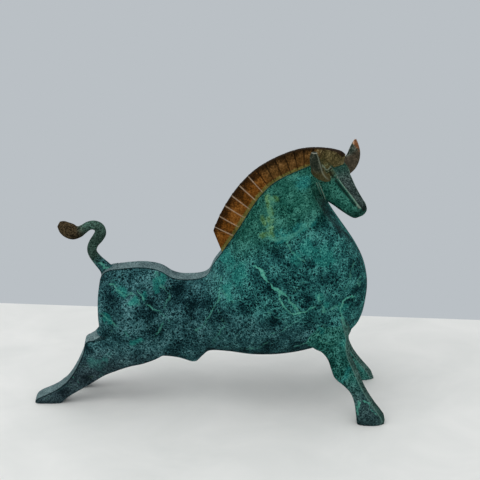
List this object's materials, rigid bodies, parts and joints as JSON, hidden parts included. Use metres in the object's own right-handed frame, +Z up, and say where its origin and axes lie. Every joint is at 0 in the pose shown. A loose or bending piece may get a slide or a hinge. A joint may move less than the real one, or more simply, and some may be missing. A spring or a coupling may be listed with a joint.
{
  "type": "bronze bull sculpture",
  "caption": "Stylised bull with a full chest, turned head, segmented crest, raised tail and hind legs stretched back, cast in patinated bronze as a hollow body with pinned solid limbs.",
  "frame": {"origin": "under the middle of the whole bull, on the surface that it stands on", "axes": "+X towards the muzzle along the bull's length, +Y to the bull's left, +Z up"},
  "size_m": [0.3374, 0.1298, 0.2547],
  "materials": {
    "verdigris": "satin green and black patina over cast bronze",
    "brown_crest": "warm brown patina, dark in the grooves",
    "dark_horn": "dark brown patina, rubbed to bright bronze at the tips",
    "olive_tail": "dark olive patina, brown on the tuft",
    "raw_bronze": "bright turned bronze, hidden in the joints"
  },
  "bodies": {
    "root": {"right_hind_leg": "verdigris", "right_hind_leg_dowel_1": "raw_bronze", "right_hind_leg_dowel_2": "raw_bronze", "right_fore_leg": "verdigris", "right_fore_leg_dowel_1": "raw_bronze", "right_fore_leg_dowel_2": "raw_bronze", "left_hind_leg": "verdigris", "left_hind_leg_dowel_1": "raw_bronze", "left_hind_leg_dowel_2": "raw_bronze", "left_fore_leg": "verdigris", "left_fore_leg_dowel_1": "raw_bronze", "left_fore_leg_dowel_2": "raw_bronze", "neck_pin": "raw_bronze", "right_horn": "dark_horn", "left_horn": "dark_horn", "head": "verdigris", "crest": "brown_crest", "tail": "olive_tail", "waist_pin_1": "raw_bronze", "waist_pin_2": "raw_bronze", "waist_pin_3": "raw_bronze", "waist_pin_4": "raw_bronze", "waist_pin_5": "raw_bronze", "waist_pin_6": "raw_bronze", "hind_body": "verdigris", "fore_body": "verdigris"}
  },
  "joints": []
}
